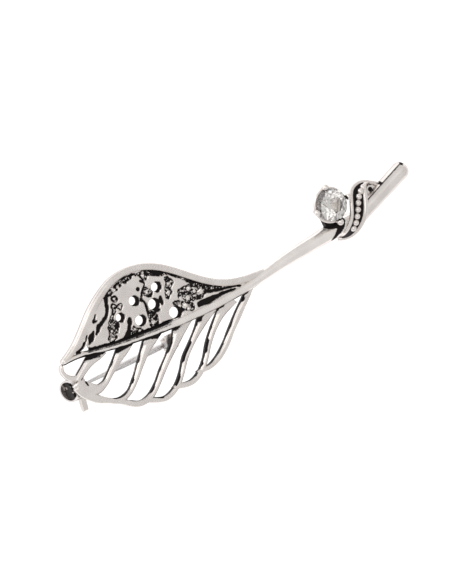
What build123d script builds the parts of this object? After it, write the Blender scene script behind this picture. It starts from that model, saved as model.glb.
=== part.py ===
"""Leaf brooch: openwork silver leaf, stem with a claw-set stone and a beaded wrap, hinged pin and catch.

Millimetres. +X runs from the leaf's tip to the tail, +Y points to the solid half of the leaf,
+Z points away from the wearer. The brooch lies on its back and z = 0 touches its catch.
"""
import os
from math import cos, radians, sin
from build123d import *

# ---- heights ----
bar_height = 1.2          # thickness of the rim, ribs and midrib, front to back
panel_thick = 0.7         # sheet of the solid half
catch_outer_r = 1.75
pin_drop = 2.55           # pin axis below the leaf's middle plane
leaf_z = pin_drop + catch_outer_r
back_z = leaf_z - bar_height / 2

# ---- leaf: centre lines with the bar's width at each point, (x, y, width) ----
midrib_line = [(-31.9, 2.2, 0.7), (-29.1, 2.1, 0.8), (-26.3, 1.5, 0.9), (-23.3, 0.8, 1.0),
               (-17.4, -0.2, 1.2), (-11.5, -0.9, 1.3), (-5.6, -1.3, 1.3), (0.4, -1.3, 1.4),
               (4.4, -0.9, 1.7), (8.0, -0.6, 2.0), (12.8, -0.4, 2.3), (16.5, -0.3, 2.5),
               (20.6, -0.3, 2.6)]
rim_line = [(-31.9, 2.2, 0.8), (-28.7, 3.6, 1.2), (-26.3, 5.3, 1.4), (-24.3, 6.9, 1.4),
            (-21.9, 8.4, 1.3), (-19.3, 9.5, 1.2), (-16.6, 9.8, 1.1), (-14.0, 9.3, 1.1),
            (-11.6, 8.1, 1.1), (-9.4, 6.4, 1.1), (-7.4, 4.5, 1.1), (-5.0, 2.4, 1.1),
            (-2.6, 0.9, 1.1), (0.0, 0.0, 1.1), (2.4, -0.4, 1.0), (4.4, -0.6, 0.8)]
rib_lines = {
    "rib_1": [(-25.3, 1.6, 2.8), (-26.3, 1.1, 2.2), (-27.4, 0.7, 1.7), (-28.7, 0.1, 1.3),
              (-29.8, -0.5, 1.2), (-30.8, -1.1, 1.2)],
    "rib_2": [(-21.0, 0.7, 2.8), (-22.0, -0.2, 2.1), (-23.6, -1.3, 1.4), (-25.4, -2.5, 1.0),
              (-27.0, -3.5, 1.0), (-28.4, -3.6, 1.3), (-29.5, -3.0, 1.4), (-30.4, -2.0, 1.3)],
    "rib_3": [(-15.9, 0.2, 3.0), (-16.9, -0.6, 2.4), (-18.6, -1.9, 1.6), (-20.6, -3.7, 1.1),
              (-22.3, -5.3, 0.9), (-24.0, -6.5, 0.8), (-25.9, -6.8, 1.0), (-27.6, -6.0, 0.9),
              (-29.0, -5.1, 1.2), (-29.8, -4.0, 1.3), (-30.2, -3.1, 1.2)],
    "rib_4": [(-11.0, -0.5, 3.1), (-12.1, -1.5, 2.4), (-13.8, -3.1, 1.5), (-15.6, -4.5, 1.1),
              (-17.7, -6.1, 1.0), (-19.5, -7.6, 0.9), (-21.2, -8.6, 1.0), (-23.0, -8.8, 1.0),
              (-24.6, -8.0, 1.0), (-25.5, -7.3, 0.9)],
    "rib_5": [(-6.6, -0.9, 3.0), (-7.7, -1.7, 2.3), (-9.2, -2.9, 1.4), (-11.3, -4.4, 0.9),
              (-13.5, -6.1, 0.9), (-15.1, -7.9, 0.8), (-16.9, -9.4, 0.9), (-19.0, -10.0, 0.9),
              (-20.8, -9.4, 0.9), (-21.5, -9.0, 0.8)],
    "rib_6": [(-2.9, -1.3, 2.9), (-4.1, -2.0, 2.2), (-5.5, -2.9, 1.4), (-7.4, -4.3, 1.0),
              (-9.2, -6.0, 0.9), (-10.6, -7.7, 0.8), (-12.2, -9.1, 0.9), (-14.2, -9.8, 0.9),
              (-15.6, -9.6, 0.9), (-16.3, -9.3, 0.8)],
    "rib_7": [(0.8, -1.6, 1.1), (-0.7, -2.7, 1.1), (-2.6, -4.1, 1.2), (-4.8, -5.8, 1.1),
              (-6.9, -7.5, 1.1), (-8.8, -8.6, 1.0), (-10.6, -9.1, 0.8), (-11.7, -9.1, 0.8)],
}
bow_line = [(-31.9, 2.2, 0.5), (-32.3, 1.3, 0.6), (-32.1, 0.4, 0.7), (-31.4, -0.4, 0.9),
            (-30.4, -0.8, 1.0)]
panel_holes = [(-13.2, 5.6, 1.3), (-17.4, 5.4, 1.3), (-14.7, 3.5, 1.5), (-17.7, 2.3, 1.5),
               (-20.5, 4.2, 1.1), (-12.1, 0.8, 1.7)]          # x, y, diameter
tip_window = [(-28.3, 2.5), (-26.8, 3.1), (-26.9, 2.0)]

# ---- tail ----
tail_start = (20.55, -0.62)
tail_angle = 18.0
tail_length = 12.0
tail_r_base = 1.2
tail_r_end = 1.4
pit_r = 0.22
pit_depth = 0.5

# ---- wrap: matching points down its outer and inner edge, z counted from the stem's axis ----
wrap_outer = [(17.6, -1.9, -1.2), (19.0, -2.3, -0.5), (20.7, -1.5, 0.9), (22.0, 0.1, 1.8),
              (22.9, 1.8, 1.8), (23.6, 3.0, 1.4), (24.1, 3.6, 0.9), (24.9, 3.5, 0.3)]
wrap_inner = [(18.0, -1.5, -0.9), (18.5, -0.9, 1.2), (19.4, 0.1, 1.8), (20.1, 1.5, 2.1),
              (20.8, 2.9, 1.9), (21.9, 4.1, 1.3), (23.8, 4.3, 0.7), (25.3, 3.6, 0.3), (26.7, 2.6, -0.1)]
band_thick = 0.5
band_steps = 16
band_end = 0.94           # the band stops short of its rails' ends
band_edge = 0.35          # how much narrower the band is than its rails' spacing
rail_r = [0.42, 0.32]     # outer rail, inner rail
bead_r = 0.5
bead_count = 8
bead_span = (0.24, 0.76)  # where the row of beads starts and ends along the band
bead_side = 0.56          # 0 on the outer edge, 1 on the inner
bead_lift = 0.28
web_outline = [(23.6, 0.9), (23.9, 3.3), (25.0, 3.4), (26.6, 2.5), (26.6, 1.4)]
web_z0, web_thick = -0.5, 0.6     # floor of the nook where the wrap ends on the tail

# ---- stone and its setting ----
stone_x, stone_y = 17.1, 3.9
stone_r = 2.5
girdle_z = leaf_z + 3.2
girdle_thick = 0.16
crown_height = 0.8
pavilion_depth = 2.1
table_taper = 55.0
pavilion_taper = 48.0
ring_wire_r = 0.3
ring_upper_r, ring_upper_z = 2.46, leaf_z + 2.35
ring_lower_r, ring_lower_z = 1.15, leaf_z + 0.95
prong_wire_r = 0.36
prong_ball_r = 0.5
prong_turn = -1.0
prong_line = [(1.2, leaf_z + 0.5), (2.55, leaf_z + 2.3), (2.85, girdle_z + 0.3)]   # (reach, z)
base_r = 1.3
base_foot_x, base_foot_width = 17.0, 2.4
base_z0, base_z1 = leaf_z - 0.3, leaf_z + 0.75

# ---- pin, hinge and catch: s runs along the pin from its pivot to the catch ----
pivot_x, pivot_y, pivot_z = -14.1, -3.46, leaf_z - pin_drop
pin_heading = 176.7       # direction of the closed pin seen from the front
rivet_r = 0.35
rivet_clear = 0.03
rivet_head_r = 0.5
rivet_head_thick = 0.15
eye_r = 0.8
eye_width = 0.8
ear_gap = 0.9
ear_thick = 0.4
ear_r = 0.8
joint_plate = (1.6, 2.3, 0.35)
pin_neck_r = [0.34, 0.38]     # the wire tapers down towards its eye
pin_neck_s = 1.1
pin_r = 0.5
pin_straight_s = (1.4, 8.0)
pin_tip_s = 17.25
pin_tip_r = 0.14
housing_s0, housing_s1 = 16.23, 17.33
housing_bore_r = 1.3
housing_mouth = 0.9          # how far the open mouth reaches past the lip, at its longest
mouth_bore_r = 1.46
mouth_slant = 21.0           # the mouth is cut back towards the front
catch_slot = 0.7
catch_plate = (2.0, 2.3, 0.35)
catch_plate_s = 16.25
rotor_r = 1.25
rotor_bore_r = 0.42
rotor_slot = 0.66
rotor_gap = 0.05
rotor_lip_r, rotor_lip_thick = 1.38, 0.15
lever_thick = 0.8
lever_width = 1.0
lever_reach = 4.1
lever_lean = 16.0         # lean of the lever away from the leaf

os.makedirs("parts", exist_ok=True)


def bar_sections(line, path, height):
    """Flat-backed, round-topped sections along a bar, each as wide as its point asks."""
    crown = 0.35 * height
    sections = []
    for x, y, width in line:
        along = path.tangent_at(path.param_at_point((x, y, leaf_z)))
        across = Vector(0, 0, 1).cross(along)
        half = width / 2
        with BuildSketch(Plane(origin=(x, y, leaf_z), x_dir=across, z_dir=along)) as section:
            with BuildLine():
                Polyline((-half, height / 2 - crown), (-half * 0.8, -height / 2),
                         (half * 0.8, -height / 2), (half, height / 2 - crown))
                ThreePointArc((half, height / 2 - crown), (0, height / 2),
                              (-half, height / 2 - crown))
            make_face()
        sections.append(section.sketch)
    return sections


def draw_bar(line, height=bar_height):
    """Draw a bar of changing width along its centre line, in the leaf's plane."""
    path = Edge.make_spline([Vector(x, y, leaf_z) for x, y, width in line])
    loft(sections=bar_sections(line, path, height))


def largest(piece):
    """The body of a piece, without the offcuts trimming leaves behind."""
    return piece.part.solids().sort_by(SortBy.VOLUME)[-1]


# ---- stem and leaf ----
stem_path = Edge.make_spline([Vector(x, y, leaf_z) for x, y, width in midrib_line])
with BuildPart() as stem:
    stem_sections = []
    for x, y, width in midrib_line:
        along = stem_path.tangent_at(stem_path.param_at_point((x, y, leaf_z)))
        across = Vector(0, 0, 1).cross(along)
        with BuildSketch(Plane(origin=(x, y, leaf_z), x_dir=across, z_dir=along)) as section:
            Ellipse(width / 2, max(width, bar_height + 0.1) / 2)
        stem_sections.append(section.sketch)
    loft(sections=stem_sections)

with BuildPart() as leaf_rim:
    draw_bar(rim_line)
    add(stem.part, mode=Mode.SUBTRACT)

rim_part = largest(leaf_rim)

with BuildPart() as leaf_panel:
    with BuildSketch(Plane.XY.offset(leaf_z - panel_thick / 2)):
        with BuildLine():
            Polyline(*[(x, y) for x, y, width in rim_line[1:-2]],
                     *[(x, y) for x, y, width in reversed(midrib_line[1:8])], close=True)
        make_face()
        for x, y, diameter in panel_holes:
            with Locations((x, y)):
                Circle(diameter / 2, mode=Mode.SUBTRACT)
        with BuildLine():
            Polyline(*tip_window, close=True)
        make_face(mode=Mode.SUBTRACT)
    extrude(amount=panel_thick)
    add(stem.part, mode=Mode.SUBTRACT)
    add(rim_part, mode=Mode.SUBTRACT)

ribs = {}
neighbours = [rim_part]
for name, line in rib_lines.items():
    with BuildPart() as rib:
        draw_bar(line)
        for other in (stem.part, leaf_panel.part, *neighbours):
            add(other, mode=Mode.SUBTRACT)
    ribs[name] = largest(rib)
    neighbours = [ribs[name]]

with BuildPart() as tip_bow:
    draw_bar(bow_line, 1.0)
    for other in (stem.part, rim_part, ribs["rib_1"], ribs["rib_2"]):
        add(other, mode=Mode.SUBTRACT)

tail_frame = Plane(origin=(*tail_start, leaf_z),
                   x_dir=(cos(radians(tail_angle)), sin(radians(tail_angle)), 0),
                   z_dir=(sin(radians(tail_angle)), -cos(radians(tail_angle)), 0))
with BuildPart() as tail:
    with BuildSketch(tail_frame):
        with BuildLine():
            Polyline((tail_length, 0), (0, 0), (0, tail_r_base),
                     (tail_length - tail_r_end, tail_r_end))
            RadiusArc((tail_length - tail_r_end, tail_r_end), (tail_length, 0), tail_r_end)
        make_face()
    revolve(axis=Axis(tail_frame.origin, tail_frame.x_dir))
    with Locations(tail_frame.offset(0) * Pos(tail_length - 0.75 * pit_depth, 0.3)
                   * Rot(0, 90, 0)):
        Cylinder(pit_r, 2 * pit_depth, mode=Mode.SUBTRACT)
    add(stem.part, mode=Mode.SUBTRACT)

# ---- wrap ----
outer_path = Edge.make_spline([Vector(x, y, z + leaf_z) for x, y, z in wrap_outer])
inner_path = Edge.make_spline([Vector(x, y, z + leaf_z) for x, y, z in wrap_inner])

with BuildPart() as rail_outer:
    with BuildSketch(Plane(origin=outer_path @ 0, z_dir=outer_path % 0)):
        Circle(rail_r[0])
    sweep(path=outer_path)
    add(stem.part, mode=Mode.SUBTRACT)
    add(tail.part, mode=Mode.SUBTRACT)

with BuildPart() as rail_inner:
    with BuildSketch(Plane(origin=inner_path @ 0, z_dir=inner_path % 0)):
        Circle(rail_r[1])
    sweep(path=inner_path)
    add(stem.part, mode=Mode.SUBTRACT)
    add(tail.part, mode=Mode.SUBTRACT)
    add(rail_outer.part, mode=Mode.SUBTRACT)

with BuildPart() as wrap_band:
    band_sections = []
    for i in range(band_steps + 1):
        t = band_end * i / band_steps
        a, b = outer_path.position_at(t), inner_path.position_at(t)
        across = (b - a).normalized()
        face_out = (outer_path.tangent_at(t) + inner_path.tangent_at(t)).cross(across)
        with BuildSketch(Plane(origin=(a + b) / 2, x_dir=across,
                               z_dir=across.cross(face_out))) as section:
            Rectangle((b - a).length - band_edge, band_thick)
        band_sections.append(section.sketch)
    loft(sections=band_sections, ruled=True)
    for other in (stem, tail):
        add(other.part, mode=Mode.SUBTRACT)

with BuildPart() as wrap_web:
    with BuildSketch(Plane.XY.offset(leaf_z + web_z0)):
        with BuildLine():
            Polyline(*web_outline, close=True)
        make_face()
    extrude(amount=web_thick)
    add(tail.part, mode=Mode.SUBTRACT)

beads = {}
for i in range(bead_count):
    t = bead_span[0] + (bead_span[1] - bead_span[0]) * i / (bead_count - 1)
    a, b = outer_path.position_at(t), inner_path.position_at(t)
    along = outer_path.tangent_at(t) + inner_path.tangent_at(t)
    lift = along.cross(b - a).normalized() * bead_lift
    with BuildPart() as bead:
        with Locations(a + (b - a) * bead_side + lift):
            Sphere(bead_r)
    beads[f"wrap_bead_{i + 1}"] = bead.part
band_part = largest(wrap_band)

# ---- stone and setting ----
stone_centre = (stone_x, stone_y)
with BuildPart() as stone:
    with BuildSketch(Plane.XY.offset(girdle_z)):
        with Locations(stone_centre):
            RegularPolygon(stone_r, 16)
    extrude(amount=girdle_thick / 2, both=True)
    with BuildSketch(Plane.XY.offset(girdle_z + girdle_thick / 2)):
        with Locations(stone_centre):
            RegularPolygon(stone_r, 16)
    extrude(amount=crown_height, taper=table_taper)
    with BuildSketch(Plane.XY.offset(girdle_z - girdle_thick / 2)):
        with Locations(stone_centre):
            RegularPolygon(stone_r, 16)
    extrude(amount=-pavilion_depth, taper=pavilion_taper)

with BuildPart() as setting_base:
    with BuildSketch(Plane.XY.offset(base_z0)):
        with Locations(stone_centre):
            Circle(base_r)
        with Locations((base_foot_x, stone_y / 2)):
            Rectangle(base_foot_width, stone_y)
    extrude(amount=base_z1 - base_z0)
    for other in (stem.part, band_part, rail_outer.part, rail_inner.part):
        add(other, mode=Mode.SUBTRACT)

rings = {}
for name, ring_r, ring_z in (("setting_ring_lower", ring_lower_r, ring_lower_z),
                             ("setting_ring_upper", ring_upper_r, ring_upper_z)):
    with BuildPart() as ring:
        with Locations((stone_x, stone_y, ring_z)):
            Torus(ring_r, ring_wire_r)
        add(setting_base.part, mode=Mode.SUBTRACT)
    rings[name] = ring.part

prongs = {}
for i in range(4):
    turn = radians(90 * i + prong_turn)
    points = [(stone_x + r * cos(turn), stone_y + r * sin(turn), z) for r, z in prong_line]
    with BuildPart() as prong:
        with BuildLine():
            path = Spline(*points)
        with BuildSketch(Plane(origin=path @ 0, z_dir=path % 0)):
            Circle(prong_wire_r)
        sweep(path=path)
        with Locations(points[-1]):
            Sphere(prong_ball_r)
        for other in (stone.part, setting_base.part, *rings.values()):
            add(other, mode=Mode.SUBTRACT)
    prongs[f"prong_{i + 1}"] = prong.part

# ---- hinge and pin ----
pin_dir = Vector(cos(radians(pin_heading)), sin(radians(pin_heading)), 0)
pivot = Vector(pivot_x, pivot_y, pivot_z)
pin_frame = Plane(origin=pivot, x_dir=pin_dir, z_dir=(0, 0, 1))
side_frame = Plane(origin=pivot, x_dir=pin_dir, z_dir=pin_frame.y_dir)   # its y points down
plate_drop = pin_drop - bar_height / 2 - joint_plate[2]                  # pivot to the plate

with BuildPart() as hinge_joint:
    with BuildSketch(pin_frame.offset(plate_drop)):
        with Locations((0.0, -0.4)):
            Rectangle(joint_plate[0], joint_plate[1])
    extrude(amount=joint_plate[2])
    with BuildSketch(side_frame):
        Circle(ear_r)
        with Locations((0, -plate_drop / 2)):
            Rectangle(2 * ear_r, plate_drop)
    extrude(amount=ear_gap / 2 + ear_thick, both=True)
    with BuildSketch(side_frame):
        with Locations((0, (2 * ear_r - plate_drop) / 2)):
            Rectangle(4 * ear_r, 2 * ear_r + plate_drop)
    extrude(amount=ear_gap / 2, both=True, mode=Mode.SUBTRACT)
    with BuildSketch(side_frame):
        Circle(rivet_r)
    extrude(amount=ear_gap + ear_thick, both=True, mode=Mode.SUBTRACT)
    for other in (stem.part, ribs["rib_4"]):
        add(other, mode=Mode.SUBTRACT)

with BuildPart() as hinge_rivet:
    with BuildSketch(side_frame):
        Circle(rivet_r)
    extrude(amount=ear_gap / 2 + ear_thick, both=True)
    for side in (-1, 1):
        with BuildSketch(side_frame.offset(side * (ear_gap / 2 + ear_thick))):
            Circle(rivet_head_r)
        extrude(amount=side * rivet_head_thick)

with BuildPart() as pin_stem:
    with BuildSketch(pin_frame):
        with BuildLine():
            Polyline((pin_tip_s, 0), (0, 0), (0, pin_neck_r[0]), (pin_neck_s, pin_neck_r[1]),
                     (pin_straight_s[0], pin_r), (pin_straight_s[1], pin_r),
                     (pin_tip_s - pin_tip_r, pin_tip_r))
            RadiusArc((pin_tip_s - pin_tip_r, pin_tip_r), (pin_tip_s, 0), pin_tip_r)
        make_face()
    revolve(axis=Axis(pivot, pin_dir))
    with BuildSketch(side_frame):
        Circle(eye_r)
    extrude(amount=eye_width / 2, both=True)
    with BuildSketch(side_frame):
        Circle(rivet_r + rivet_clear)
    extrude(amount=eye_width, both=True, mode=Mode.SUBTRACT)


def across_pin(s):
    """Plane across the closed pin: its x points to the leaf, its y to the solid half."""
    return Plane(origin=pivot + pin_dir * s, x_dir=(0, 0, 1), z_dir=pin_dir)


# ---- catch ----
mouth_cut = Plane(origin=pivot + pin_dir * (housing_s1 + housing_mouth) - Vector(0, 0, catch_outer_r),
                  z_dir=pin_dir * cos(radians(mouth_slant)) + Vector(0, 0, sin(radians(mouth_slant))))
with BuildPart() as catch_housing:
    with BuildSketch(across_pin(housing_s0)):
        Circle(catch_outer_r)
    extrude(amount=housing_s1 + housing_mouth - housing_s0)
    with BuildSketch(across_pin(housing_s0)):
        Circle(housing_bore_r)
        with Locations((-catch_outer_r, 0)):
            Rectangle(2 * catch_outer_r, catch_slot)
    extrude(amount=housing_s1 - housing_s0, mode=Mode.SUBTRACT)
    with BuildSketch(across_pin(housing_s1)):
        Circle(mouth_bore_r)
    extrude(amount=2 * housing_mouth, mode=Mode.SUBTRACT)
    split(bisect_by=mouth_cut, keep=Keep.BOTTOM)
    with BuildSketch(pin_frame.offset(pin_drop - bar_height / 2 - catch_plate[2])):
        with Locations((catch_plate_s, 0)):
            Rectangle(catch_plate[0], catch_plate[1])
    extrude(amount=catch_plate[2])
    for other in (ribs["rib_2"], ribs["rib_3"]):
        add(other, mode=Mode.SUBTRACT)

lever_s1 = housing_s0 - rotor_gap
lever_s0 = lever_s1 - lever_thick
lip_s0 = housing_s1 + rotor_gap
with BuildPart() as catch_rotor:
    with BuildSketch(across_pin(lever_s0)):
        Circle(rotor_r)
    extrude(amount=lip_s0 - lever_s0)
    with BuildSketch(across_pin(lip_s0)):
        Circle(rotor_lip_r)
    extrude(amount=rotor_lip_thick)
    with BuildSketch(across_pin(lever_s0) * Rot(0, 0, 270 - lever_lean)):
        with Locations(((rotor_bore_r + lever_reach - lever_width / 2) / 2, 0)):
            Rectangle(lever_reach - lever_width / 2 - rotor_bore_r, lever_width)
        with Locations((lever_reach - lever_width / 2, 0)):
            Circle(lever_width / 2)
    extrude(amount=lever_thick)
    with BuildSketch(across_pin(lever_s0 - 1)):
        Circle(rotor_bore_r)
        with Locations((-rotor_lip_r, 0)):
            Rectangle(2 * rotor_lip_r, rotor_slot)
    extrude(amount=lip_s0 - lever_s0 + 1, mode=Mode.SUBTRACT)

pieces = {
    "stem": stem.part, "leaf_rim": rim_part, "leaf_panel": leaf_panel.part, **ribs,
    "tip_bow": largest(tip_bow), "tail": largest(tail), "wrap_band": band_part,
    "wrap_web": largest(wrap_web),
    "wrap_rail_outer": rail_outer.part, "wrap_rail_inner": rail_inner.part, **beads,
    "setting_base": setting_base.part, **rings, **prongs, "stone": stone.part,
    "hinge_joint": hinge_joint.part, "hinge_rivet": hinge_rivet.part,
    "catch_housing": catch_housing.part, "pin_stem": pin_stem.part,
    "catch_rotor": catch_rotor.part,
}
for name, piece in pieces.items():
    piece.label = name
    export_step(piece, f"parts/{name}.step")
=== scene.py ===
"""Looks of the leaf brooch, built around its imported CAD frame.

The brooch's lines and sizes are in millimetres in the part's own frame, and MM turns them
into metres. The camera and the lights are in metres, and noise textures are scaled per metre.
"""
from math import cos, pi, radians, sin

import bmesh
import bpy
import numpy as np
from mathutils import Matrix, Vector


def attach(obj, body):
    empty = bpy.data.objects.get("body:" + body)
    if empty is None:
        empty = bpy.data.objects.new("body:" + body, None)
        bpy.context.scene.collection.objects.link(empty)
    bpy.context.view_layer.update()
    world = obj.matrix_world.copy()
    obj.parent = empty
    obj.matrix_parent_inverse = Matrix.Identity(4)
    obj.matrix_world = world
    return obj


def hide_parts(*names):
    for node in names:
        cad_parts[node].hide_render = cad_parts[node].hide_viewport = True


MM = 0.001

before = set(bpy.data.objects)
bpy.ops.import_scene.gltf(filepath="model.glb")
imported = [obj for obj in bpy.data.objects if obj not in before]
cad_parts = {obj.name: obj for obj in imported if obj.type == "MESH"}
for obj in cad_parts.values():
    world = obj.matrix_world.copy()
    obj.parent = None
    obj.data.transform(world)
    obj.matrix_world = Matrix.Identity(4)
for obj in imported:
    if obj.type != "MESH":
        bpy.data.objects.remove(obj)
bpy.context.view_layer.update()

# ---- heights and centre lines of the casting, (x, y, width) ----
LEAF_Z = 4.3
BAR_HEIGHT = 1.2
PANEL_BACK = LEAF_Z - 0.35
PANEL_FACE = LEAF_Z + 0.35
RECESS = 0.42

MIDRIB = [(-31.9, 2.2, 0.7), (-29.1, 2.1, 0.8), (-26.3, 1.5, 0.9), (-23.3, 0.8, 1.0),
          (-17.4, -0.2, 1.2), (-11.5, -0.9, 1.3), (-5.6, -1.3, 1.3), (0.4, -1.3, 1.4),
          (4.4, -0.9, 1.7), (8.0, -0.6, 2.0), (12.8, -0.4, 2.3), (16.5, -0.3, 2.5),
          (20.6, -0.3, 2.6)]
RIM = [(-31.9, 2.2, 0.8), (-28.7, 3.6, 1.2), (-26.3, 5.3, 1.4), (-24.3, 6.9, 1.4),
       (-21.9, 8.4, 1.3), (-19.3, 9.5, 1.2), (-16.6, 9.8, 1.1), (-14.0, 9.3, 1.1),
       (-11.6, 8.1, 1.1), (-9.4, 6.4, 1.1), (-7.4, 4.5, 1.1), (-5.0, 2.4, 1.1),
       (-2.6, 0.9, 1.1), (0.0, 0.0, 1.1), (2.4, -0.4, 1.0), (4.4, -0.6, 0.8)]
RIBS = [
    [(-25.3, 1.6, 2.8), (-26.3, 1.1, 2.2), (-27.4, 0.7, 1.7), (-28.7, 0.1, 1.3),
     (-29.8, -0.5, 1.2), (-30.8, -1.1, 1.2)],
    [(-21.0, 0.7, 2.8), (-22.0, -0.2, 2.1), (-23.6, -1.3, 1.4), (-25.4, -2.5, 1.0),
     (-27.0, -3.5, 1.0), (-28.4, -3.7, 1.5), (-29.5, -3.1, 1.9), (-30.5, -2.2, 2.0),
     (-31.0, -1.3, 1.7)],
    [(-15.9, 0.2, 3.0), (-16.9, -0.6, 2.4), (-18.6, -1.9, 1.6), (-20.6, -3.7, 1.1),
     (-22.3, -5.3, 0.9), (-24.0, -6.5, 0.8), (-25.9, -6.8, 1.0), (-27.6, -6.0, 0.9),
     (-29.0, -5.0, 1.3), (-30.0, -3.9, 1.5), (-30.8, -2.8, 1.5), (-31.2, -1.9, 1.3)],
    [(-11.0, -0.5, 3.1), (-12.1, -1.5, 2.4), (-13.8, -3.1, 1.5), (-15.6, -4.5, 1.1),
     (-17.7, -6.1, 1.0), (-19.5, -7.6, 0.9), (-21.2, -8.6, 1.0), (-23.0, -8.8, 1.0),
     (-24.6, -8.0, 1.0), (-25.5, -7.3, 0.9), (-26.2, -6.8, 0.9)],
    [(-6.6, -0.9, 3.0), (-7.7, -1.7, 2.3), (-9.2, -2.9, 1.4), (-11.3, -4.4, 0.9),
     (-13.5, -6.1, 0.9), (-15.1, -7.9, 0.8), (-16.9, -9.4, 0.9), (-19.0, -10.0, 0.9),
     (-20.8, -9.4, 0.9), (-21.6, -9.0, 0.9), (-22.3, -8.8, 0.9)],
    [(-2.9, -1.3, 2.9), (-4.1, -2.0, 2.2), (-5.5, -2.9, 1.4), (-7.4, -4.3, 1.0),
     (-9.2, -6.0, 0.9), (-10.6, -7.7, 0.8), (-12.2, -9.1, 0.9), (-14.2, -9.8, 0.9),
     (-15.6, -9.6, 0.9), (-16.5, -9.3, 0.9), (-17.2, -9.4, 0.8)],
    [(0.8, -1.6, 1.1), (-0.7, -2.7, 1.1), (-2.6, -4.1, 1.2), (-4.8, -5.8, 1.1),
     (-6.9, -7.5, 1.1), (-8.8, -8.6, 1.0), (-10.6, -9.1, 0.8), (-11.9, -9.0, 0.8),
     (-12.7, -9.1, 0.8)],
]
BOW = [(-31.9, 2.2, 0.5), (-32.3, 1.3, 0.6), (-32.1, 0.4, 0.7), (-31.4, -0.4, 0.9),
       (-30.4, -0.8, 1.0)]
HOLES = [(-13.2, 5.6, 1.3), (-17.4, 5.4, 1.3), (-14.7, 3.5, 1.5), (-17.7, 2.3, 1.5),
         (-20.5, 4.2, 1.1), (-12.1, 0.8, 1.7)]
TIP_WINDOW = [(-28.3, 2.5), (-26.8, 3.1), (-26.9, 2.0)]
TAIL_START, TAIL_ANGLE, TAIL_LENGTH, TAIL_R = (20.55, -0.62), radians(18.0), 12.0, (1.2, 1.4)

# ---- sunk and blackened marks of the panel, (x, y, width) ----
MARKS = [
    [(-20.7, 8.1, .35), (-21.2, 7.7, .6), (-21.4, 7.0, .5), (-21.6, 6.3, .5), (-22.0, 5.7, .5),
     (-22.5, 5.2, .5), (-23.3, 4.8, .4), (-24.0, 4.6, .6), (-24.4, 4.2, .65), (-24.9, 3.7, .3)],
    [(-23.8, 6.3, .2), (-24.2, 5.8, .3), (-24.5, 5.5, .4), (-24.0, 5.4, .25)],
    [(-25.2, 4.2, .3), (-25.7, 3.8, .85), (-26.1, 3.4, .85), (-26.6, 3.0, .3)],
    [(-26.4, 4.2, .2), (-26.9, 3.6, .3), (-27.9, 2.9, .4), (-28.8, 2.5, .6)],
    [(-27.1, 2.6, .25), (-26.9, 2.2, .3)], [(-26.5, 2.0, .2), (-26.0, 2.1, .25)],
    [(-19.0, 3.3, .4), (-19.2, 2.9, .75), (-19.4, 2.4, .6), (-19.8, 1.8, .6), (-20.5, 1.3, .5),
     (-21.0, 1.0, .3)],
    [(-14.9, 7.5, .3), (-14.6, 7.2, .3), (-14.5, 6.8, .3), (-14.8, 6.4, .35), (-15.3, 6.0, .3),
     (-15.8, 5.3, .35)],
    [(-15.85, 6.6, .55), (-15.8, 6.55, .5)],
    [(-16.0, 4.9, .5), (-15.8, 4.5, .3), (-15.7, 4.0, .3), (-15.8, 3.3, .35), (-15.9, 2.6, .45)],
    [(-13.1, 3.8, .4), (-13.15, 3.3, .5), (-13.2, 2.8, .4)],
    [(-14.9, 2.2, .3), (-14.5, 2.35, .4), (-14.0, 2.2, .3)],
    [(-7.8, -0.05, .7), (-7.0, -0.1, .85), (-6.1, -0.2, .8), (-4.8, -0.25, .6), (-3.4, -0.3, .4),
     (-1.6, -0.6, .3)],
    [(-5.7, 1.0, .35), (-3.8, 0.35, .3), (-2.2, -0.1, .25), (-0.6, -0.6, .2)],
    # The last three lines follow the inside of the rim: sunk like the rest, and blackened as
    # painted shade where the rim stands over the panel.
    [(-13.0, 8.3, .3), (-12.4, 7.8, .6), (-11.9, 7.4, .7), (-11.3, 7.1, .6), (-10.8, 6.9, .3)],
    [(-10.7, 6.9, .25), (-10.0, 6.3, .3), (-9.4, 5.8, .55), (-8.9, 5.4, .45), (-8.7, 5.2, .2)],
    [(-8.7, 5.2, .2), (-7.8, 4.4, .5), (-7.2, 3.8, .8), (-6.6, 3.3, .8), (-6.0, 2.8, .6)],
]
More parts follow.
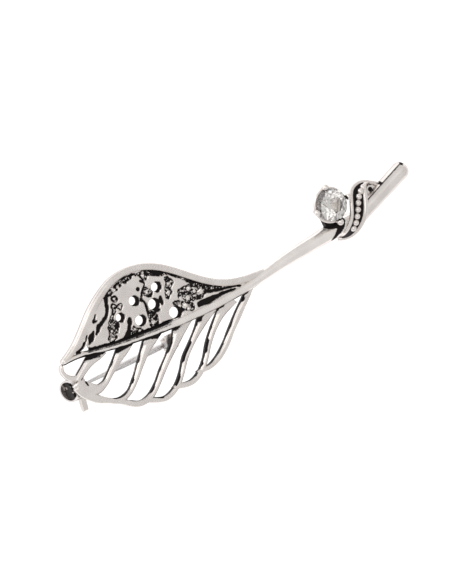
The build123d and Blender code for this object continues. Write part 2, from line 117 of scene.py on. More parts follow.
ROUGH_MARKS = [
    [(-20.2, 8.2, .9), (-19.5, 8.5, 1.1), (-18.7, 8.7, 1.3), (-17.8, 8.8, 1.2), (-16.9, 8.8, .9),
     (-15.8, 8.8, .5)],
    [(-15.8, 8.7, .4), (-14.8, 8.5, .5), (-14.1, 8.3, .9), (-13.2, 8.1, .9), (-12.3, 7.6, 1.1),
     (-11.5, 7.1, 1.0), (-10.9, 6.8, .6)],
    [(-10.9, 6.8, .4), (-10.0, 6.0, .4), (-9.1, 5.2, .4), (-8.2, 4.4, .6), (-7.4, 3.6, .9),
     (-6.4, 2.7, 1.0), (-5.5, 1.9, .9), (-4.5, 1.2, .8), (-2.9, 0.4, .6), (-0.8, -0.4, .3)],
    [(-14.3, 7.9, .9), (-14.0, 7.7, .8)],
    [(-14.8, 6.0, .7), (-14.7, 5.4, 1.2), (-14.5, 5.0, .9), (-14.1, 5.3, .7)],
    [(-19.9, 7.0, .9), (-19.9, 6.9, .9)], [(-20.5, 6.1, .8), (-20.5, 6.0, .8)],
    [(-19.6, 5.6, .9), (-19.7, 5.5, .8)],
    [(-20.7, 5.5, .6), (-21.2, 5.0, .5), (-21.5, 4.6, .6), (-21.9, 4.2, .8)],
    [(-22.0, 4.0, .9), (-22.2, 3.4, 1.2), (-22.0, 3.1, 1.5), (-21.4, 3.4, 1.1)],
    [(-22.3, 3.0, .9), (-22.7, 2.4, .9), (-23.1, 2.0, .9), (-23.0, 1.6, .8), (-22.4, 1.9, .7)],
    [(-20.4, 1.4, .7), (-19.6, 1.2, .9), (-18.7, 1.0, .8)],
    [(-19.0, 1.7, .7), (-18.7, 1.2, .8), (-18.2, 0.8, .8)],
    [(-15.6, 2.3, 1.0), (-15.5, 1.6, 1.4), (-15.7, 0.8, 1.4), (-15.9, 0.3, 1.1)],
    [(-10.9, 5.7, .9), (-10.8, 5.1, 1.2), (-11.3, 4.6, .9), (-11.6, 3.9, 1.1), (-12.0, 3.3, .5)],
    [(-9.9, 3.2, .7), (-9.0, 3.0, 1.0), (-8.0, 2.8, 1.3), (-7.0, 2.3, 1.3), (-6.2, 1.6, 1.1)],
    [(-9.9, 2.5, 1.0), (-9.1, 1.9, 1.3), (-8.0, 1.5, 1.4), (-7.0, 1.1, .9)],
    [(-11.3, 1.9, .8), (-10.6, 1.2, 1.5), (-9.8, 0.7, 1.4), (-9.2, 0.3, 1.1)],
    [(-5.2, 1.2, .7), (-4.9, 0.9, .7), (-4.4, 0.8, .6)],
]
BUBBLES = [(-7.7, 2.1, .28), (-9.1, 1.7, .36), (-10.2, 2.05, .3), (-6.7, 1.6, .4), (-8.3, 2.9, .3),
           (-9.8, 0.8, .3), (-9.6, 0.15, .28), (-10.8, 1.2, .28), (-18.6, 8.3, .25),
           (-17.7, 8.3, .22), (-15.6, 8.45, .28), (-15.2, 8.1, .3), (-14.2, 7.9, .26),
           (-19.9, 7.0, .2), (-20.5, 6.1, .18), (-19.6, 5.5, .2), (-22.9, 1.8, .25),
           (-22.4, 2.9, .22), (-18.9, 1.4, .25), (-18.3, 0.9, .22), (-14.7, 5.4, .22),
           (-11.0, 5.0, .25), (-11.5, 3.9, .25), (-5.0, 1.2, .18), (-15.6, 1.0, .25)]


# ---- small helpers ----
def smoothstep(low, high, x):
    t = np.clip((x - low) / (high - low), 0, 1)
    return t * t * (3 - 2 * t)


def lattice(i, j, seed):
    h = (i * 374761393 + j * 668265263 + seed * 1274126177) & 0xFFFFFFFF
    h = ((h ^ (h >> 13)) * 1103515245) & 0xFFFFFFFF
    return ((h ^ (h >> 16)) & 0xFFFF) / 65535.0


def noise(x, y, size, seed=0):
    """Smooth value noise, 0 to 1, with blobs of the given size."""
    x, y = np.asarray(x, float) / size, np.asarray(y, float) / size
    i, j = np.floor(x).astype(np.int64), np.floor(y).astype(np.int64)
    u, v = smoothstep(0, 1, x - i), smoothstep(0, 1, y - j)
    low = lattice(i, j, seed) * (1 - u) + lattice(i + 1, j, seed) * u
    high = lattice(i, j + 1, seed) * (1 - u) + lattice(i + 1, j + 1, seed) * u
    return low * (1 - v) + high * v


def smooth_line(points, step):
    """Evenly spaced rows on a smooth curve through the points, and how far along each one is."""
    p = np.array(points, float)
    d = np.concatenate([[0], np.cumsum(np.linalg.norm(np.diff(p[:, :2], axis=0), axis=1))])
    slope = np.diff(p, axis=0) / np.diff(d)[:, None]
    m = np.zeros_like(p)
    for i in range(1, len(p) - 1):
        before, after = d[i] - d[i - 1], d[i + 1] - d[i]
        m[i] = (slope[i - 1] * after + slope[i] * before) / (before + after)
    m[0] = 1.5 * slope[0] - 0.5 * m[1]
    m[-1] = 1.5 * slope[-1] - 0.5 * m[-2]
    s = np.linspace(0, d[-1], max(3, int(round(d[-1] / step)) + 1))
    k = np.clip(np.searchsorted(d, s, side="right") - 1, 0, len(p) - 2)
    h = (d[k + 1] - d[k])[:, None]
    t = (s - d[k])[:, None] / h
    rows = ((2 * t ** 3 - 3 * t ** 2 + 1) * p[k] + (t ** 3 - 2 * t ** 2 + t) * h * m[k]
            + (3 * t ** 2 - 2 * t ** 3) * p[k + 1] + (t ** 3 - t ** 2) * h * m[k + 1])
    return rows, s


def from_line(x, y, line):
    """Distance from points to a polyline, and the line's width at the nearest place."""
    best = np.full(np.shape(x), 1e9)
    width = np.zeros(np.shape(x))
    for a, b in zip(line[:-1], line[1:]):
        ex, ey = b[0] - a[0], b[1] - a[1]
        t = np.clip(((x - a[0]) * ex + (y - a[1]) * ey) / (ex * ex + ey * ey + 1e-9), 0, 1)
        d = np.hypot(x - a[0] - t * ex, y - a[1] - t * ey)
        near = d < best
        best = np.where(near, d, best)
        width = np.where(near, a[2] + (b[2] - a[2]) * t, width)
    return best, width


def inside(x, y, polygon):
    hit = np.zeros(np.shape(x), bool)
    for (ax, ay), (bx, by) in zip(polygon, polygon[1:] + polygon[:1]):
        crosses = (ay > y) != (by > y)
        at = ax + (y - ay) * (bx - ax) / (by - ay if by != ay else 1e-9)
        hit ^= crosses & (x < at)
    return hit


def add_mesh(name, vertices, faces, oxide_and_shade=None, smooth=True):
    """A mesh object from points in mm, with its patina and painted shade as a point attribute."""
    mesh = bpy.data.meshes.new(name)
    mesh.from_pydata((np.asarray(vertices) * MM).tolist(), [], faces)
    if oxide_and_shade is not None:
        mesh.attributes.new("oxide_and_shade", "FLOAT", "POINT").data.foreach_set(
            "value", np.asarray(oxide_and_shade, np.float32))
    mesh.polygons.foreach_set("use_smooth", [smooth] * len(mesh.polygons))
    mesh.update()
    obj = bpy.data.objects.new(name, mesh)
    bpy.context.scene.collection.objects.link(obj)
    return obj


def settle(obj, body, nodes, material):
    """Gives a finished piece its material and body, and hides its CAD nodes."""
    obj.data.materials.clear()
    obj.data.materials.append(material)
    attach(obj, body)
    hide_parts(*nodes)


# ---- materials ----
def new_material(name):
    material = bpy.data.materials.new(name)
    material.use_nodes = True
    tree = material.node_tree
    return material, tree, tree.nodes["Principled BSDF"]


def node(tree, kind, **settings):
    made = tree.nodes.new(kind)
    for key, value in settings.items():
        if key in made.inputs:
            made.inputs[key].default_value = value
        else:
            setattr(made, key, value)
    return made


def noise_node(tree, coordinates, scale, detail=3.0):
    made = node(tree, "ShaderNodeTexNoise", Scale=scale, Detail=detail)
    tree.links.new(coordinates, made.inputs["Vector"])
    return made.outputs["Fac"]


def math_node(tree, operation, a, b, clamp=False):
    made = node(tree, "ShaderNodeMath", operation=operation, use_clamp=clamp)
    for socket, value in zip(made.inputs, (a, b)):
        if isinstance(value, (int, float)):
            socket.default_value = value
        else:
            tree.links.new(value, socket)
    return made.outputs[0]


def ramp_node(tree, value, low, high, out_low=0.0, out_high=1.0):
    made = node(tree, "ShaderNodeMapRange", interpolation_type="SMOOTHSTEP")
    tree.links.new(value, made.inputs["Value"])
    for key, number in (("From Min", low), ("From Max", high), ("To Min", out_low),
                        ("To Max", out_high)):
        made.inputs[key].default_value = number
    return made.outputs["Result"]


def mix_colour(tree, factor, a, b):
    made = node(tree, "ShaderNodeMix", data_type="RGBA")
    tree.links.new(factor, made.inputs["Factor"])
    for key, colour in ((6, a), (7, b)):
        if isinstance(colour, tuple):
            made.inputs[key].default_value = (*colour, 1)
        else:
            tree.links.new(colour, made.inputs[key])
    return made.outputs[2]


def silver(name, tarnish_and_shade=None, bright=(0.86, 0.82, 0.79), dull=(0.78, 0.735, 0.71),
           roughness=(0.2, 0.34)):
    """Cast silver: polished where it stands proud, blackened where its darkening says so: patina in
    some places, painted shade and painted dark reflections in others.

    The darkening is a function (tree, object coordinates) -> socket; without it the mesh's point
    attribute of patina and painted shade is read.
    """
    material, tree, shader = new_material(name)
    coordinates = node(tree, "ShaderNodeTexCoord").outputs["Object"]
    if tarnish_and_shade is None:
        level = node(tree, "ShaderNodeAttribute", attribute_name="oxide_and_shade").outputs["Fac"]
    else:
        level = tarnish_and_shade(tree, coordinates)
    ragged = noise_node(tree, coordinates, 5200.0, 4.0)
    level = math_node(tree, "ADD", level,
                      math_node(tree, "MULTIPLY", math_node(tree, "SUBTRACT", ragged, 0.5), 0.55))
    black = ramp_node(tree, level, 0.3, 0.72)
    cloud = ramp_node(tree, noise_node(tree, coordinates, 420.0, 2.0), 0.3, 0.7)
    polished = mix_colour(tree, cloud, bright, dull)
    # Near-black, for patina and for painted shade alike.
    patina_and_shade_black = mix_colour(tree, ragged, (0.004, 0.003, 0.004), (0.022, 0.018, 0.018))
    tree.links.new(mix_colour(tree, black, polished, patina_and_shade_black), shader.inputs["Base Color"])
    fine = noise_node(tree, coordinates, 9000.0, 2.0)
    satin = ramp_node(tree, fine, 0.2, 0.8, *roughness)
    rough = math_node(tree, "ADD", satin, math_node(tree, "MULTIPLY", black, 0.2))
    tree.links.new(rough, shader.inputs["Roughness"])
    tree.links.new(ramp_node(tree, black, 0.0, 1.0, 1.0, 0.0), shader.inputs["Metallic"])
    shader.inputs["Specular IOR Level"].default_value = 0.12
    shader.inputs["Specular Tint"].default_value = (0.5, 0.47, 0.46, 1)
    bump = node(tree, "ShaderNodeBump", Strength=0.12, Distance=0.00003)
    soft = noise_node(tree, coordinates, 1500.0, 3.0)
    tree.links.new(soft, bump.inputs["Height"])
    tree.links.new(bump.outputs["Normal"], shader.inputs["Normal"])
    return material


SILVER = silver("cast_silver")
# Painted light: a lighter copy of the cast silver for the stem, where it shows brighter.
LIT_STEM_SILVER = silver("lit_stem_silver", None, (0.96, 0.92, 0.885), (0.89, 0.85, 0.82))

# ---- bars of the casting ----
ARC = [radians(a) for a in range(0, 181, 15)]
BAR_SECTION = ([(-0.8, -1.0), (-0.4, -1.0), (0.0, -1.0), (0.4, -1.0), (0.8, -1.0),
                (0.87, -0.9), (0.9, -0.6), (0.94, -0.25), (0.98, 0.05)]
               + [(cos(a), 0.3 + 0.7 * sin(a)) for a in ARC]
               + [(-0.98, 0.05), (-0.94, -0.25), (-0.9, -0.6), (-0.87, -0.9)])
ROUND_SECTION = [(cos(a), sin(a)) for a in np.linspace(-pi, pi, 36, endpoint=False)]
CATCH_LOOP = [(-30.2, -1.2, 0.2), (-29.7, -1.1, 0.35), (-29.55, -1.55, 0.3), (-29.7, -1.95, 0.35),
              (-29.6, -2.4, 0.3)]
RIB_BLACK = (0.45, 0.75, 0.7, 0.85, 1.1, 1.2, 1.1)


def bar_mesh(name, line, height, section, tarnish_and_shade, step=0.16, rounding=(0.5, 0.5), dip=None,
             highest_y=None):
    """Sweeps a section along a line; the ends are rounded off over the given lengths."""
    rows, s = smooth_line(line, step)
    total = s[-1]
    along = np.gradient(rows[:, :2], axis=0)
    along /= np.linalg.norm(along, axis=1)[:, None]
    across = np.stack([-along[:, 1], along[:, 0]], axis=1)
    shrink = np.ones(len(s))
    for ends, length in ((s, rounding[0]), (total - s, rounding[1])):
        if length > 0:
            t = np.clip(1 - ends / length, 0, 1)
            shrink *= np.sqrt(np.clip(1 - t * t, 0.02, 1))
    uv = np.array(section)
    u = np.tile(uv[:, 0], (len(s), 1))
    v = np.tile(uv[:, 1], (len(s), 1))
    half = rows[:, 2] / 2
    tall = np.array([height(w) / 2 for w in rows[:, 2]]) if callable(height) else \
        np.full(len(s), height / 2)
    x = rows[:, 0:1] + across[:, 0:1] * u * (half * shrink)[:, None]
    y = rows[:, 1:2] + across[:, 1:2] * u * (half * shrink)[:, None]
    if highest_y is not None:
        y = np.minimum(y, highest_y(x))
    z = LEAF_Z + v * (tall * shrink)[:, None]
    if dip is not None:
        z = z - np.where(v > 0, dip(x, y) * v, 0)
    oxide_and_shade = tarnish_and_shade(np.tile(s[:, None], (1, len(uv))), total, u, v, x, y, (half * 2)[:, None])
    n = len(uv)
    faces = [(i * n + j, (i + 1) * n + j, (i + 1) * n + (j + 1) % n, i * n + (j + 1) % n)
             for i in range(len(s) - 1) for j in range(n)]
    faces += [tuple(range(n)), tuple((len(s) - 1) * n + j for j in reversed(range(n)))]
    points = np.stack([x, y, z], axis=-1).reshape(-1, 3)
    return add_mesh(name, points, faces, np.clip(oxide_and_shade, 0, 1).reshape(-1))


WRAP_SHADE = [(15.7, -1.35, 0.3), (16.4, -1.0, 0.7), (17.1, -0.6, 1.0), (17.9, 0.0, 1.2),
              (18.5, 0.7, 1.1)]
MIDRIB_ROWS = [tuple(r) for r in smooth_line(MIDRIB, 0.5)[0]]


def gap_to_midrib(x, y):
    distance, width = from_line(x, y, MIDRIB_ROWS)
    return distance - width / 2


def midrib_centre(x):
    """Height in y of the midrib's centre line, where the roots of the ribs end."""
    return np.interp(x, [r[0] for r in MIDRIB_ROWS], [r[1] for r in MIDRIB_ROWS])


def rib_tarnish(seed):
    """Black along a rib's left edge, thin with blots, and in its crotch with the midrib."""
    bold = RIB_BLACK[seed - 1]

    def rule(s, total, u, v, x, y, width):
        edge = (u + 1) * width / 2
        blot = smoothstep(0.45, 0.8, noise(s, s * 0 + seed * 7.3, 1.1, seed))
        band = bold * (0.04 + 0.2 * blot) + 0.35 * np.exp(-s / 1.1)
        thin = 0.35 + 0.65 * smoothstep(total, total * 0.8, s)
        left = np.where(u < 0, smoothstep(band * thin + 0.07, band * thin - 0.03, edge), 0)
        low = 0.2 - 0.5 * bold - 0.25 * blot
        wall = np.where(u < 0, smoothstep(low, low + 0.15, v) * smoothstep(0.42, 0.3, v),
                        0.6 * smoothstep(0.0, -0.3, v))
        wall = wall * smoothstep(-1.0, -0.9, v)
        fade = 0.75 + 0.25 * smoothstep(0.2, 0.4, noise(s, s * 0, 1.7, seed + 40))
        gap = gap_to_midrib(x, y) + 0.12 * noise(x, y, 0.5, 5)
        reach = 0.2 + 0.4 * smoothstep(0.4, 0.8, noise(x, y, 1.0, 6))
        leafy = smoothstep(-9.5, -14.0, x)
        seam = smoothstep(reach + 0.1, reach - 0.05, gap) * np.maximum(
            smoothstep(0.3, -0.4, u), 0.8 * leafy)
        distance, wide = from_line(x, y, CATCH_LOOP)
        loop = 0.9 * smoothstep(0.1, -0.06, distance - wide / 2) * (v > 0)
        return np.maximum.reduce([np.maximum(left, wall) * fade, np.where(v > -0.9, seam, 0.1),
                                  loop])
    return rule


def rib_dip(x, y):
    return 0.3 * smoothstep(0.7, 0.3, gap_to_midrib(x, y))


def rim_shade_and_line(s, total, u, v, x, y, width):
    # Painted shade on the inner wall, where the rim stands over the panel.
    inner = np.where(u < 0, smoothstep(0.5, 0.3, v), 0) * smoothstep(-1.0, -0.9, v)
    # A dark line along the outer top edge, towards the stem end.
    line = 0.5 * smoothstep(0.16, 0.02, np.abs(u - 0.86)) * np.where(v > 0, 1, 0)
    return np.maximum(inner, line * smoothstep(26, 33, s))


def midrib_patina_and_shade(s, total, u, v, x, y, width):
    leafy = smoothstep(-10.5, -13.5, x + 1.5 * noise(x, y, 1.5, 3))
    face = np.where(v > -0.2, 1, 0)
    upper = smoothstep(0.55, 0.7, u) * leafy
    grey = (0.5 + 0.2 * noise(x, y, 0.8, 9)) * smoothstep(-0.05, 0.15, u) * leafy
    tip = smoothstep(-27, -28.5, x)
    under = -0.6 + 0.25 * leafy + 0.3 * smoothstep(-25.5, -27, x) - 0.15 * noise(x, y, 0.7, 8)
    lower = smoothstep(under, under - 0.15, u) * (0.6 + 0.4 * leafy) * smoothstep(3.5, 1.5, x)
    # Painted dark reflection: a thin line along the upper side of the stem.
    line = 0.5 * smoothstep(0.12, 0.03, np.abs(u - 0.78)) * smoothstep(3.0, 6.0, x) * (v > 0)
    # Painted shadow of the stone's setting on the top of the stem.
    nook = smoothstep(2.4, 1.9, np.hypot(x - 17.1, y - 2.2)) * (v > 0)
    distance, wide = from_line(x, y, WRAP_SHADE)
    shade = smoothstep(0.12, -0.08, distance - wide / 2 + 0.15 * noise(x, y, 0.4, 10)) * (v > 0)
    return np.maximum.reduce(
        [upper * (1 - tip), grey * (1 - tip), lower, line, nook, shade]) * face


def bow_tarnish(s, total, u, v, x, y, width):
    return np.where(u > 0, smoothstep(0.2, 0.0, v), 0) * smoothstep(total * 0.55, total * 0.8, s)


for number, line in enumerate(RIBS, 1):
    piece = bar_mesh(f"rib_bar_{number}", line, BAR_HEIGHT, BAR_SECTION, rib_tarnish(number),
                     rounding=(0.0, 0.0), dip=rib_dip, highest_y=midrib_centre)
    settle(piece, "brooch", [f"rib_{number}"], SILVER)
settle(bar_mesh("rim_bar", RIM, BAR_HEIGHT, BAR_SECTION, rim_shade_and_line, rounding=(0.5, 0.8)),
       "brooch", ["leaf_rim"], SILVER)
settle(bar_mesh("midrib_rod", MIDRIB, lambda w: max(w, BAR_HEIGHT + 0.1), ROUND_SECTION,
                midrib_patina_and_shade, rounding=(0.5, 0.5)),
       "brooch", ["stem"], LIT_STEM_SILVER)
settle(bar_mesh("bow_bar", BOW, 1.0, BAR_SECTION, bow_tarnish, rounding=(0.4, 0.4)),
       "brooch", ["tip_bow"], SILVER)

# ---- tail ----
tail_end = (TAIL_START[0] + TAIL_LENGTH * cos(TAIL_ANGLE),
            TAIL_START[1] + TAIL_LENGTH * sin(TAIL_ANGLE))
PIT = (tail_end[0] - 0.8, tail_end[1] + 0.64)
NOOK = [(24.9, 2.45, 0.5), (25.5, 2.7, 0.7), (26.1, 2.95, 0.4)]
NOOK_DOT = (26.75, 2.76)


def tail_marks_and_reflection(s, total, u, v, x, y, width):
    # Painted dark reflection: a thin line along the upper side of the tail.
    line = 0.75 * smoothstep(0.14, 0.05, np.abs(u - 0.74)) * (v > 0) * smoothstep(2.5, 3.5, s)
    distance, wide = from_line(x, y, NOOK)
    nook = smoothstep(0.1, -0.06, distance - wide / 2) * (v > -0.4)
    dot = smoothstep(0.36, 0.24, np.hypot(x - NOOK_DOT[0], y - NOOK_DOT[1])) * (v > -0.4)
    pit = smoothstep(0.32, 0.24, np.hypot(x - PIT[0], y - PIT[1])) * (v > 0)
    return np.maximum.reduce([line, nook, dot, pit])


tail_line = [(TAIL_START[0] + (tail_end[0] - TAIL_START[0]) * t,
              TAIL_START[1] + (tail_end[1] - TAIL_START[1]) * t,
              2 * (TAIL_R[0] + (TAIL_R[1] - TAIL_R[0]) * t)) for t in np.linspace(0, 1, 5)]
settle(bar_mesh("tail_rod", tail_line, lambda w: w, ROUND_SECTION, tail_marks_and_reflection,
                step=0.1, rounding=(0.0, 1.2),
                dip=lambda x, y: 0.3 * smoothstep(0.34, 0.1, np.hypot(x - PIT[0], y - PIT[1]))),
       "brooch", ["tail"], SILVER)

# ---- pierced panel with its sunk marks ----
CELL = 0.07
MARK_SPREAD = 0.56
GRANULE_COUNT = 2600
GRANULE_SEED = 7


def panel_marks(x, y):
    """How deep each point is sunk, 0 to 1, how rough it is there and how far inside that is."""
    wobble = 0.16 * (noise(x, y, 0.45, 11) - 0.5) + 0.08 * (noise(x, y, 0.2, 12) - 0.5)
    sunk = np.zeros(np.shape(x))
    rough = np.zeros(np.shape(x))
    core = np.zeros(np.shape(x))
    for line in MARKS:
        distance, width = from_line(x, y, line)
        sunk = np.maximum(sunk, smoothstep(0.07, -0.07, distance - MARK_SPREAD * width + wobble))
    for line in ROUGH_MARKS:
        distance, width = from_line(x, y, line)
        here = smoothstep(0.08, -0.08, distance - MARK_SPREAD * width + 1.4 * wobble)
        rough = np.maximum(rough, here)
        core = np.maximum(
            core, smoothstep(-0.1, -0.28, distance - MARK_SPREAD * width + 1.4 * wobble))
    for hx, hy, dia in HOLES:
        distance = np.hypot(x - hx - 0.3, y - hy + 0.16)
        sunk = np.maximum(sunk, smoothstep(0.06, -0.06, distance - dia / 2 - 0.16 + wobble))
    groove = smoothstep(0.3, 0.12, gap_to_midrib(x, y) + wobble) * smoothstep(-12.2, -13.2, x)
    sunk = np.maximum(sunk, groove * smoothstep(-28.2, -27.4, x))
    return np.maximum(sunk, rough), rough * (1 - sunk), core * (1 - sunk)


def make_panel():
    outline = ([tuple(r[:2]) for r in smooth_line(RIM[1:-2], 0.5)[0]]
               + [tuple(r[:2]) for r in smooth_line(MIDRIB[1:8], 0.5)[0]][::-1])
    xs = np.arange(-29.3, 0.6, CELL)
    ys = np.arange(-1.6, 10.0, CELL)
    gx, gy = np.meshgrid(xs, ys, indexing="ij")
    cx, cy = gx[:-1, :-1] + CELL / 2, gy[:-1, :-1] + CELL / 2
    keep = inside(cx, cy, outline) & ~inside(cx, cy, TIP_WINDOW)
    for hx, hy, dia in HOLES:
        keep &= np.hypot(cx - hx, cy - hy) > dia / 2
    for hx, hy, dia in HOLES:
        d = np.hypot(gx - hx, gy - hy) + 1e-9
        ring = np.abs(d - dia / 2) < CELL * 0.72
        gx, gy = (np.where(ring, hx + (gx - hx) * dia / 2 / d, gx),
                  np.where(ring, hy + (gy - hy) * dia / 2 / d, gy))
    sunk, rough, core = panel_marks(gx, gy)
    vein = np.exp(-((noise(gx, gy, 0.5, 33) - 0.5) / 0.05) ** 2) * core
    cloud = smoothstep(0.4, 0.8, noise(gx, gy, 0.3, 31)) * core
    granules = np.zeros(gx.shape)
    shape = np.random.default_rng(GRANULE_SEED)
    spots = shape.uniform((-29, -1, 0.09), (0, 9.5, 0.2), (GRANULE_COUNT, 3))
    spots = np.concatenate([spots, np.array(BUBBLES) * (1, 1, 1.25)])
    for k, (sx, sy, r) in enumerate(spots):
        i0, i1 = np.searchsorted(xs, (sx - r - 0.1, sx + r + 0.1))
        j0, j1 = np.searchsorted(ys, (sy - r - 0.1, sy + r + 0.1))
        if i1 <= i0 or j1 <= j0:
            continue
        part = (slice(i0, i1), slice(j0, j1))
        d = np.hypot(gx[part] - sx, gy[part] - sy) / r
        big = k >= len(spots) - len(BUBBLES)
        dome = np.sqrt(np.clip(1 - d * d, 0, 1)) * (1.0 if big else 0.62)
        granules[part] = np.maximum(granules[part], dome)
    granules *= rough
    face = PANEL_FACE + 0.12 * smoothstep(-20, -25, gx)
    swell = 0.03 * (noise(gx, gy, 2.2, 21) - 0.5)
    ground = 0.1 * noise(gx, gy, 0.3, 22) * rough
    top = face + swell - RECESS * sunk + ground + 0.16 * vein + granules * (0.28 + 0.06 * sunk)
    oxide_and_shade = sunk * (1 - 0.5 * cloud - 0.35 * vein * smoothstep(0.4, 0.6, noise(gx, gy, 1.1, 34)))
    oxide_and_shade = np.clip(oxide_and_shade - 0.55 * smoothstep(0.35, 0.6, granules)
                 - 0.5 * smoothstep(0.62, 0.9, granules), 0, 1)

    index = -np.ones(gx.shape, int)
    used = np.zeros(gx.shape, bool)
    for a in (0, 1):
        for b in (0, 1):
            used[a:a + keep.shape[0], b:b + keep.shape[1]] |= keep
    index[used] = np.arange(used.sum())
    count = int(used.sum())
    upper = np.stack([gx[used], gy[used], top[used]], axis=1)
    lower = np.stack([gx[used], gy[used], np.full(count, PANEL_BACK)], axis=1)
    ii, jj = np.nonzero(keep)
    quad = np.stack([index[ii, jj], index[ii + 1, jj], index[ii + 1, jj + 1], index[ii, jj + 1]], 1)
    faces = quad.tolist() + (quad[:, ::-1] + count).tolist()
    edges = {}
    for q in quad.tolist():
        for a, b in zip(q, q[1:] + q[:1]):
            edges[(a, b)] = True
    faces += [(b, a, a + count, b + count) for a, b in edges if (b, a) not in edges]
    back_ox = 0.25 * noise(gx, gy, 1.2, 24)[used]
    return add_mesh("panel_relief", np.concatenate([upper, lower]), faces,
                    np.concatenate([oxide_and_shade[used], back_ox]))


settle(make_panel(), "brooch", ["leaf_panel"], SILVER)

# ---- stone ----
STONE = (17.1, 3.9)
GIRDLE_Z = LEAF_Z + 3.2
STONE_R = 2.48


def make_stone():
    """A round brilliant: table, crown of stars, bezels and upper girdles, pavilion below."""
    mesh = bmesh.new()
    rings = [(0.54, 0.86, 8, 0.5), (0.8, 0.5, 8, 0.0), (1.0, 0.07, 16, 0.0), (1.0, -0.07, 16, 0.0),
             (0.42, -1.35, 8, 0.0), (0.03, -2.12, 8, 0.0)]
    for radius, height, count, turn in rings:
        for i in range(count):
            a = 2 * pi * (i + turn) / count
            mesh.verts.new(Vector((STONE[0] + STONE_R * radius * cos(a),
                                   STONE[1] + STONE_R * radius * sin(a),
                                   GIRDLE_Z + height)) * MM)
    bmesh.ops.convex_hull(mesh, input=mesh.verts)
    bmesh.ops.dissolve_limit(mesh, angle_limit=radians(1.5), verts=mesh.verts, edges=mesh.edges)
    made = bpy.data.meshes.new("brilliant")
    mesh.to_mesh(made)
    mesh.free()
    obj = bpy.data.objects.new("brilliant", made)
    bpy.context.scene.collection.objects.link(obj)
    return obj


# ---- materials of the pieces kept from the CAD ----
def by_height(low, high, top=0.9):
    """Darkening that fades out upwards between two heights, in mm."""
    def rule(tree, coordinates):
        apart = node(tree, "ShaderNodeSeparateXYZ")
        tree.links.new(coordinates, apart.inputs[0])
        return ramp_node(tree, apart.outputs["Z"], low * MM, high * MM, top, 0.0)
    return rule


def near_axis(start, direction, inner, outer, top=1.0):
    """Darkening inside a radius about an axis, in mm."""
    def rule(tree, coordinates):
        away = node(tree, "ShaderNodeVectorMath", operation="SUBTRACT")
        tree.links.new(coordinates, away.inputs[0])
        away.inputs[1].default_value = [c * MM for c in start]
        cross = node(tree, "ShaderNodeVectorMath", operation="CROSS_PRODUCT")
        tree.links.new(away.outputs[0], cross.inputs[0])
        cross.inputs[1].default_value = direction
        size = node(tree, "ShaderNodeVectorMath", operation="LENGTH")
        tree.links.new(cross.outputs[0], size.inputs[0])
        return ramp_node(tree, size.outputs["Value"], inner * MM, outer * MM, top, 0.0)
    return rule


def flat(level):
    """Tarnish of one level, slightly clouded."""
    def rule(tree, coordinates):
        return ramp_node(tree, noise_node(tree, coordinates, 1500.0), 0.3, 0.7,
                         level - 0.1, level + 0.1)
    return rule


PIN_HEADING = radians(176.7)
PIN_AXIS = (cos(PIN_HEADING), sin(PIN_HEADING), 0.0)
PIVOT = (-14.1, -3.46, 1.75)

UP = (0.0, 0.0, 1.0)
STONE_AXIS = ((STONE[0], STONE[1], 0.0), UP)
STONE_DARK_REFLECTIONS = (16.2, 2.2, 0.0)
STONE_SHADOW_CENTRE = (17.5, 3.5, 0.0)
WEB_HOLLOWS = [((25.1, 2.5, 0.0), 0.3, 0.45), ((26.1, 2.95, 0.0), 0.25, 0.4)]


def stone_material():
    """Clear and slightly warm, with painted dark reflections in the facets to one side and a
    painted shadow crescent at the other.
    """
    material, tree, shader = new_material("clear_stone")
    coordinates = node(tree, "ShaderNodeTexCoord").outputs["Object"]
    haze = noise_node(tree, coordinates, 900.0, 2.0)
    clear = mix_colour(tree, haze, (0.87, 0.86, 0.84), (0.74, 0.73, 0.71))
    # Painted dark reflections: dark specks in the facets on one side of the stone.
    reflection_side = near_axis(STONE_DARK_REFLECTIONS, UP, 0.7, 1.3)(tree, coordinates)
    reflection_speckle = ramp_node(tree, noise_node(tree, coordinates, 2600.0, 2.0), 0.48, 0.56)
    dark_reflections = math_node(tree, "MULTIPLY", reflection_side, reflection_speckle)
    # Painted shadow: a dark crescent at the stone's edge, outside an off-centre circle.
    out_of_shadow = near_axis(STONE_SHADOW_CENTRE, UP, 2.45, 2.65)(tree, coordinates)
    dark = math_node(tree, "MAXIMUM", dark_reflections, math_node(tree, "SUBTRACT", 1.0, out_of_shadow))
    tree.links.new(mix_colour(tree, dark, clear, (0.16, 0.15, 0.15)), shader.inputs["Base Color"])
    tree.links.new(ramp_node(tree, haze, 0.2, 0.8, 0.0, 0.03), shader.inputs["Roughness"])
    shader.inputs["IOR"].default_value = 1.75
    shader.inputs["Transmission Weight"].default_value = 1.0
    return material


settle(make_stone(), "brooch", ["stone"], stone_material())


def setting_rule(tree, coordinates):
    """Painted shadow under the stone: black low down outside the base, bright inside it."""
    low = by_height(5.2, 6.0, 0.9)(tree, coordinates)
    inner = near_axis(*STONE_AXIS, 1.05, 1.25)(tree, coordinates)
    return math_node(tree, "MULTIPLY", low, math_node(tree, "SUBTRACT", 1.0, inner))


def web_rule(tree, coordinates):
    """Black only in the two hollows beside the end of the wrap."""
    first, second = [near_axis(place, UP, inner, outer)(tree, coordinates)
                     for place, inner, outer in WEB_HOLLOWS]
    return math_node(tree, "MAXIMUM", first, second)


def rotor_rule(tree, coordinates):
    """Black inside the catch, broken by a few small painted highlights."""
    painted_glints = ramp_node(tree, noise_node(tree, coordinates, 1300.0, 1.0), 0.64, 0.68)
    inside_catch = near_axis(PIVOT, PIN_AXIS, 1.3, 1.8)(tree, coordinates)
    return math_node(tree, "SUBTRACT", inside_catch, painted_glints)


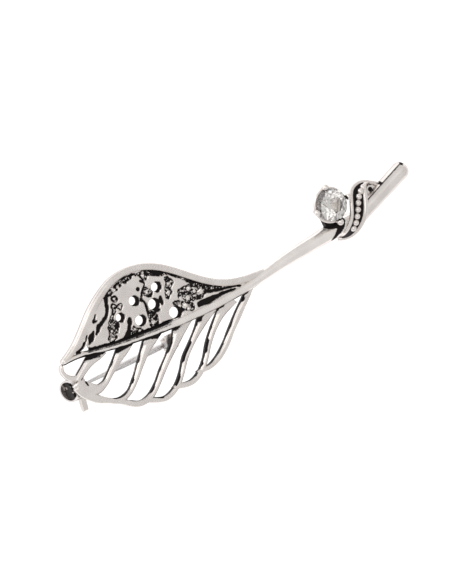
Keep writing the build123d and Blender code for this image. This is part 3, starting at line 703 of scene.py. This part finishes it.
bead_silver = silver("bead_silver", by_height(4.0, 5.0, 0.5))
kept = {
    bead_silver: [f"wrap_bead_{i}" for i in range(1, 9)],
    silver("rail_silver", flat(0.0)): ["wrap_rail_outer", "wrap_rail_inner"],
    silver("band_patina", flat(0.95)): ["wrap_band"],
    silver("web_silver", web_rule): ["wrap_web"],
    silver("setting_silver", setting_rule): ["setting_base", "setting_ring_lower",
                                             "setting_ring_upper"],
    silver("prong_silver", near_axis(*STONE_AXIS, 2.48, 2.6, 0.95)): [f"prong_{i}"
                                                                     for i in range(1, 5)],
    silver("joint_silver", flat(0.12)): ["hinge_joint", "hinge_rivet"],
    # Painted shade: the catch's silver is a darker copy, so its ring does not light up white.
    silver("shaded_catch_silver", near_axis(PIVOT, PIN_AXIS, 1.31, 1.42), (0.74, 0.71, 0.69),
           (0.64, 0.61, 0.6)): ["catch_housing"],
    silver("rotor_silver", rotor_rule): ["catch_rotor"],
    silver("pin_steel", flat(0.0), (0.8, 0.8, 0.8), (0.72, 0.72, 0.73), (0.22, 0.3)): ["pin_stem"],
}
for material, nodes in kept.items():
    for name in nodes:
        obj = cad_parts[name]
        obj.data.materials.clear()
        obj.data.materials.append(material)

# ---- floor, light and camera ----
FLOOR_SIZE = 600.0
FLOOR_Z = -0.02
FLOOR_GLOW = 0.8
WORLD_COLOUR = (1.0, 0.985, 0.975, 1)
WORLD_STRENGTH = 0.74
SENSOR_WIDTH = 36.0

half_floor = FLOOR_SIZE / 2
corners = [(-1, -1), (1, -1), (1, 1), (-1, 1)]
floor = add_mesh("floor", [(half_floor * x, half_floor * y, FLOOR_Z) for x, y in corners],
                 [(0, 1, 2, 3)], smooth=False)
material, tree, shader = new_material("floor_white")
grain = noise_node(tree, node(tree, "ShaderNodeTexCoord").outputs["Object"], 60.0)
tree.links.new(mix_colour(tree, grain, (0.6, 0.6, 0.6), (0.62, 0.62, 0.62)),
               shader.inputs["Base Color"])
shader.inputs["Roughness"].default_value = 1.0
shader.inputs["Specular IOR Level"].default_value = 0.0
shader.inputs["Emission Color"].default_value = (1, 1, 1, 1)
shader.inputs["Emission Strength"].default_value = FLOOR_GLOW
floor.data.materials.append(material)

VIEW_BACK = Vector((-0.3766, 0.1919, 0.9063))
VIEW_RIGHT = Vector((0.8075, -0.4115, 0.4226))
VIEW_UP = Vector((0.4540, 0.8910, 0.0))
AIM = (Vector((-0.9, 0.0, 4.3)) - 1.49 * VIEW_RIGHT - 1.34 * VIEW_UP) * MM
CAMERA_DISTANCE = 2.0
VIEW_HEIGHT = 0.087

camera = bpy.data.objects.new("camera", bpy.data.cameras.new("camera"))
bpy.context.scene.collection.objects.link(camera)
camera.matrix_world = Matrix((
    (VIEW_RIGHT.x, VIEW_UP.x, VIEW_BACK.x, AIM.x + CAMERA_DISTANCE * VIEW_BACK.x),
    (VIEW_RIGHT.y, VIEW_UP.y, VIEW_BACK.y, AIM.y + CAMERA_DISTANCE * VIEW_BACK.y),
    (VIEW_RIGHT.z, VIEW_UP.z, VIEW_BACK.z, AIM.z + CAMERA_DISTANCE * VIEW_BACK.z),
    (0, 0, 0, 1)))
camera.data.sensor_width = SENSOR_WIDTH
camera.data.lens = SENSOR_WIDTH * CAMERA_DISTANCE / VIEW_HEIGHT
bpy.context.scene.camera = camera


def softbox(name, offset, size, radiance, colour):
    """A square area light at an offset (right, up, back) in metres from the brooch, facing it."""
    light = bpy.data.lights.new(name, "AREA")
    light.shape = "SQUARE"
    light.size = size
    light.energy = radiance * pi * size * size
    light.color = colour
    obj = bpy.data.objects.new(name, light)
    bpy.context.scene.collection.objects.link(obj)
    away = offset[0] * VIEW_RIGHT + offset[1] * VIEW_UP + offset[2] * VIEW_BACK
    obj.location = AIM + away
    obj.rotation_mode = "QUATERNION"
    obj.rotation_quaternion = away.to_track_quat("Z", "Y")


softbox("key", (-0.55, 0.35, 0.55), 0.5, 1.25, (1.0, 0.98, 0.94))
softbox("top", (0.1, 0.1, 1.0), 0.7, 0.7, (1.0, 0.98, 0.97))

world = bpy.data.worlds.new("studio")
world.use_nodes = True
background = world.node_tree.nodes["Background"]
background.inputs["Color"].default_value = WORLD_COLOUR
background.inputs["Strength"].default_value = WORLD_STRENGTH
bpy.context.scene.world = world
bpy.context.scene.view_settings.view_transform = "Standard"
